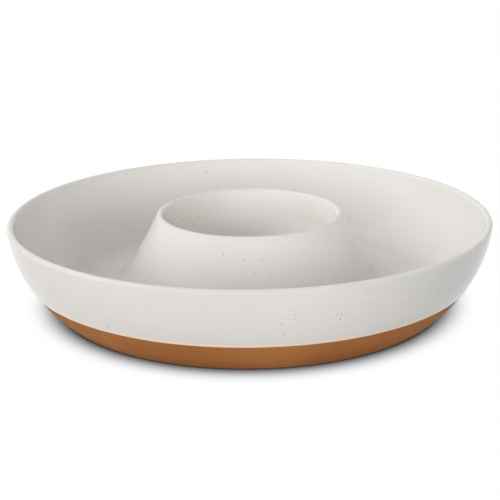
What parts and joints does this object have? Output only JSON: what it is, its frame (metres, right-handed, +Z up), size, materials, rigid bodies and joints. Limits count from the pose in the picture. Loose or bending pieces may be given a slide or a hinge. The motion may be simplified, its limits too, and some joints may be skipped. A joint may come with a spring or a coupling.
{
  "type": "chip and dip server",
  "caption": "Round shallow stoneware server with a raised central dip cup, white speckled glaze and a bare clay band and foot.",
  "frame": {"origin": "centre of the foot ring, on the surface that the server stands on", "axes": "+Z up along the axis of revolution; +X and +Y are level, and the body is the same all round"},
  "size_m": [0.32, 0.32, 0.0582],
  "materials": {
    "bare_clay": "fired terracotta-coloured stoneware, smooth, satin to matt, unglazed",
    "white_glaze": "warm white gloss glaze with fine grey-brown iron speckle, cream where it thins at its lower edge"
  },
  "bodies": {
    "root": {"clay_body": "bare_clay", "glaze_coat": "white_glaze"}
  },
  "joints": []
}
